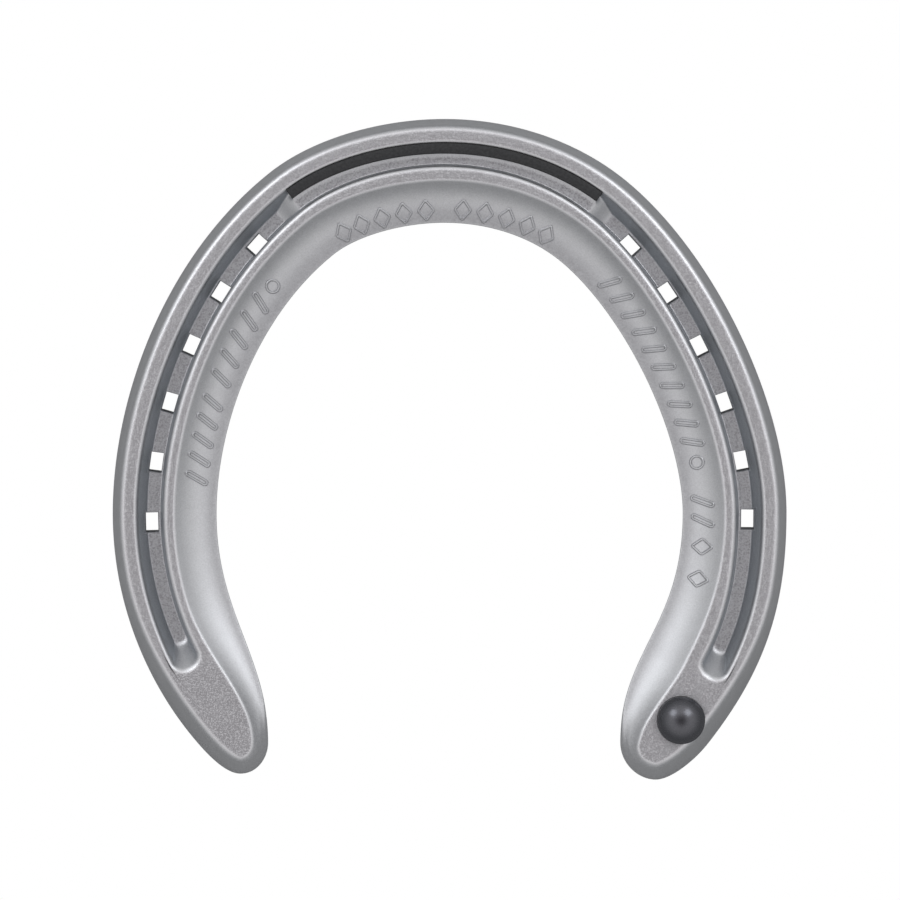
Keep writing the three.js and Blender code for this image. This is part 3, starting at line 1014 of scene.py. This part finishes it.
def blackOxideSteel():
    # Rolled steel strip with a black oxide skin: flat, dark and only faintly uneven.
    material, tree, output = newMaterial("black_oxide_rolled_steel")
    place = addNode(tree, "ShaderNodeTexCoord")
    grain = addNode(
        tree, "ShaderNodeTexNoise",
        {"Scale": 1 / (blackSteel["grain"] * mm), "Detail": 4.0, "Roughness": 0.6},
        {"Vector": place.outputs["Object"]},
    )
    ramp = addNode(tree, "ShaderNodeValToRGB", None, {"Fac": grain.outputs["Fac"]})
    ramp.color_ramp.elements[0].position, ramp.color_ramp.elements[1].position = 0.35, 0.65
    ramp.color_ramp.elements[0].color = linear(blackSteel["scale"])
    ramp.color_ramp.elements[1].color = linear(blackSteel["colour"])
    rough = addNode(
        tree, "ShaderNodeMapRange",
        {"To Min": blackSteel["roughness"][0], "To Max": blackSteel["roughness"][1]},
        {"Value": grain.outputs["Fac"]},
    )
    bump = addNode(
        tree, "ShaderNodeBump",
        {"Strength": 1.0, "Distance": blackSteel["grainDepth"] * mm},
        {"Height": grain.outputs["Fac"]},
    )
    shader = addNode(
        tree, "ShaderNodeBsdfPrincipled",
        {"Metallic": 0.7},
        {
            "Base Color": ramp.outputs["Color"],
            "Roughness": rough.outputs["Result"],
            "Normal": bump.outputs["Normal"],
        },
    )
    tree.links.new(shader.outputs["BSDF"], output.inputs["Surface"])
    return material


studSteel = {
    "colour": "#67676b",
    "shade": "#525256",
    "roughness": (0.22, 0.3),
    "grain": 0.3,
    "grainDepth": 0.004,
}


def hardenedSteel():
    # Hardened and tumbled steel: dark, satin, with small soft highlights.
    material, tree, output = newMaterial("hardened_tumbled_steel")
    place = addNode(tree, "ShaderNodeTexCoord")
    grain = addNode(
        tree, "ShaderNodeTexNoise",
        {"Scale": 1 / (studSteel["grain"] * mm), "Detail": 3.0, "Roughness": 0.55},
        {"Vector": place.outputs["Object"]},
    )
    ramp = addNode(tree, "ShaderNodeValToRGB", None, {"Fac": grain.outputs["Fac"]})
    ramp.color_ramp.elements[0].color = linear(studSteel["shade"])
    ramp.color_ramp.elements[1].color = linear(studSteel["colour"])
    rough = addNode(
        tree, "ShaderNodeMapRange",
        {"To Min": studSteel["roughness"][0], "To Max": studSteel["roughness"][1]},
        {"Value": grain.outputs["Fac"]},
    )
    bump = addNode(
        tree, "ShaderNodeBump",
        {"Strength": 1.0, "Distance": studSteel["grainDepth"] * mm},
        {"Height": grain.outputs["Fac"]},
    )
    shader = addNode(
        tree, "ShaderNodeBsdfPrincipled",
        {"Metallic": 1.0},
        {
            "Base Color": ramp.outputs["Color"],
            "Roughness": rough.outputs["Result"],
            "Normal": bump.outputs["Normal"],
        },
    )
    tree.links.new(shader.outputs["BSDF"], output.inputs["Surface"])
    return material


aluminiumLook = forgedAluminium()
insertLook = blackOxideSteel()
studLook = hardenedSteel()
print("materials made")


# Plate

plate = plateBody()
normalsOut(plate)
combine(plate, joined("marks", raisedMarks(plate)), "UNION")
print("marks raised")
cutters = [nailHole(side, number) for side in (1, -1) for number in range(nails["count"])]
slotFoot = insertLow.z / mm - toe["fitGap"]
cutters.append(
    toeBar(
        toe["insertLength"] / 2 + toe["fitGap"],
        toe["insertSetback"] - toe["fitGap"],
        toe["insertSetback"] + toe["insertThickness"] + toe["fitGap"],
        slotFoot,
        shoe["thickness"] + 1,
    )
)
cutters.append(studHole())
combine(plate, joined("cutters", cutters), "DIFFERENCE")
print("plate cut:", len(plate.data.polygons), "faces")
markZones(plate)
finishPiece(plate, [aluminiumLook], "plate")


# Toe insert

def makeInsert():
    bar = toeBar(
        toe["insertLength"] / 2,
        toe["insertSetback"],
        toe["insertSetback"] + toe["insertThickness"],
        insertLow.z / mm,
        insertHigh.z / mm,
    )
    made = joined("toe_wear_insert", [bar])
    bevel = made.modifiers.new("edges", "BEVEL")
    bevel.width, bevel.segments, bevel.limit_method = toe["insertBevel"], 3, "ANGLE"
    bevel.angle_limit = math.radians(40)
    applyModifiers(made)
    return made


insertPiece = makeInsert()
finishPiece(insertPiece, [insertLook], "toe_insert")
print("insert made")


# Heel stud

def makeStud():
    seat = shoe["thickness"] - stud["pocket"] + stud["fitGap"]
    radius = stud["diameter"] / 2
    tilt = math.radians(stud["capTilt"])
    capRadius = (radius - stud["capEdge"]) / math.sin(tilt)
    capFoot = stud["top"] - capRadius * (1 - math.cos(tilt))
    profile = [
        (0, stud["foot"]),
        (stud["shankFoot"] / 2 - 0.4, stud["foot"]),
        (stud["shankFoot"] / 2 - 0.1, stud["foot"] + 0.1),
        (stud["shankFoot"] / 2, stud["foot"] + 0.4),
        (stud["shankTop"] / 2, seat),
        (radius - 0.2, seat),
        (radius - 0.05, seat + 0.06),
        (radius, seat + 0.22),
        (radius, capFoot - 1.5 * stud["capEdge"]),
        (radius - 0.3 * stud["capEdge"], capFoot - 0.6 * stud["capEdge"]),
    ]
    for step in range(detail["capSteps"]):
        angle = tilt * (1 - step / detail["capSteps"])
        drop = capRadius * (1 - math.cos(angle))
        profile.append((capRadius * math.sin(angle), stud["top"] - drop))
    profile.append((0, stud["top"]))
    return joined("heel_stud_head", [turned(profile, detail["studSegments"])])


studPiece = makeStud()
finishPiece(studPiece, [studLook], "heel_stud")
print("stud made")


# Stage: pale floor, soft light and the camera

stage = {
    "floorColour": "#aaabab",
    "floorSize": 3.0,
    "cameraHeight": 1.5,  # metres above the ground face
    "frameShare": 900 / 674.4,  # width of the view over width of the shoe
    "lookAt": (0.07, -0.12),  # the shoe's middle sits this far off the view's middle
    "floorDrop": 0.3,  # a hair of air keeps the floor off the hoof face
    "boxDistance": 0.75,  # metres
    "boxSides": {"left": -0.52, "right": 0.52},
    "boxAim": (0.48, 0.72),
    "boxSize": 0.31,
    "boxPower": 0.72,
    "boxTint": (0.92, 0.96, 1.0),
    "heelSideGlow": 0.84,  # the room is dimmer towards the heels than towards the toe
    "toeSideGlow": 1.2,
    # Room glow from straight down (0) to straight up (1).
    "roomBands": [
        (0.0, (0.40, 0.41, 0.42)),
        (0.3, (0.61, 0.62, 0.63)),
        (0.6, (0.98, 0.98, 0.98)),
        (0.85, (1.05, 1.045, 1.06)),
        (1.0, (0.20, 0.19, 0.20)),
    ],
}


def makeFloor():
    half = stage["floorSize"] / 2
    corners = [(-half, -half, 0), (half, -half, 0), (half, half, 0), (-half, half, 0)]
    floor = meshObject("floor", corners, [[0, 1, 2, 3]])
    floor.location.z = -stage["floorDrop"] * mm
    material, tree, output = newMaterial("white_studio_floor")
    path = addNode(tree, "ShaderNodeLightPath")
    glow = addNode(tree, "ShaderNodeEmission", {"Color": (1, 1, 1, 1), "Strength": 1.0})
    paint = addNode(tree, "ShaderNodeBsdfDiffuse", {"Color": linear(stage["floorColour"])})
    both = addNode(
        tree, "ShaderNodeMixShader", None,
        {0: path.outputs["Is Camera Ray"], 1: paint.outputs[0], 2: glow.outputs[0]},
    )
    tree.links.new(both.outputs[0], output.inputs["Surface"])
    floor.data.materials.append(material)


def makeSoftbox(side):
    light = bpy.data.lights.new("softbox_" + side, "AREA")
    light.shape = "RECTANGLE"
    light.size = light.size_y = stage["boxSize"]
    light.energy = stage["boxPower"]
    light.color = stage["boxTint"]
    lamp = bpy.data.objects.new("softbox_" + side, light)
    bpy.context.scene.collection.objects.link(lamp)
    aim = Vector((stage["boxSides"][side], *stage["boxAim"])).normalized()
    lamp.location = aim * stage["boxDistance"]
    lamp.rotation_mode = "QUATERNION"
    lamp.rotation_quaternion = (-aim).to_track_quat("-Z", "Y")


def makeWorld():
    world = bpy.data.worlds.new("studio")
    bpy.context.scene.world = world
    world.use_nodes = True
    tree = world.node_tree
    tree.nodes.clear()
    place = addNode(tree, "ShaderNodeTexCoord")
    split = addNode(tree, "ShaderNodeSeparateXYZ", None, {"Vector": place.outputs["Generated"]})
    ramp = addNode(tree, "ShaderNodeValToRGB", None, {"Fac": split.outputs["Z"]})
    elements = ramp.color_ramp.elements
    while len(elements) < len(stage["roomBands"]):
        elements.new(0.5)
    for element, (position, colour) in zip(elements, stage["roomBands"]):
        element.position = position
        element.color = (*colour, 1)
    side = addNode(
        tree, "ShaderNodeMapRange",
        {
            "From Min": -1.0,
            "From Max": 1.0,
            "To Min": stage["heelSideGlow"],
            "To Max": stage["toeSideGlow"],
        },
        {"Value": split.outputs["Y"]},
    )
    glow = addNode(
        tree, "ShaderNodeVectorMath", {"operation": "SCALE"},
        {0: ramp.outputs["Color"], "Scale": side.outputs["Result"]},
    )
    back = addNode(tree, "ShaderNodeBackground", {"Strength": 1.0}, {"Color": glow.outputs["Vector"]})
    output = addNode(tree, "ShaderNodeOutputWorld")
    tree.links.new(back.outputs[0], output.inputs["Surface"])


def makeCamera():
    data = bpy.data.cameras.new("camera")
    camera = bpy.data.objects.new("camera", data)
    bpy.context.scene.collection.objects.link(camera)
    middle = (plateLow + plateHigh) / 2
    offX, offY = stage["lookAt"]
    camera.location = (middle.x + offX * mm, middle.y + offY * mm, stage["cameraHeight"])
    viewWidth = shoe["width"] * mm * stage["frameShare"]
    data.sensor_width = 36.0
    data.lens = data.sensor_width * stage["cameraHeight"] / viewWidth
    data.clip_start, data.clip_end = 0.05, 20.0
    bpy.context.scene.camera = camera


makeFloor()
for side in stage["boxSides"]:
    makeSoftbox(side)
makeWorld()
makeCamera()
bpy.context.scene.view_settings.view_transform = "Standard"
print("stage set")
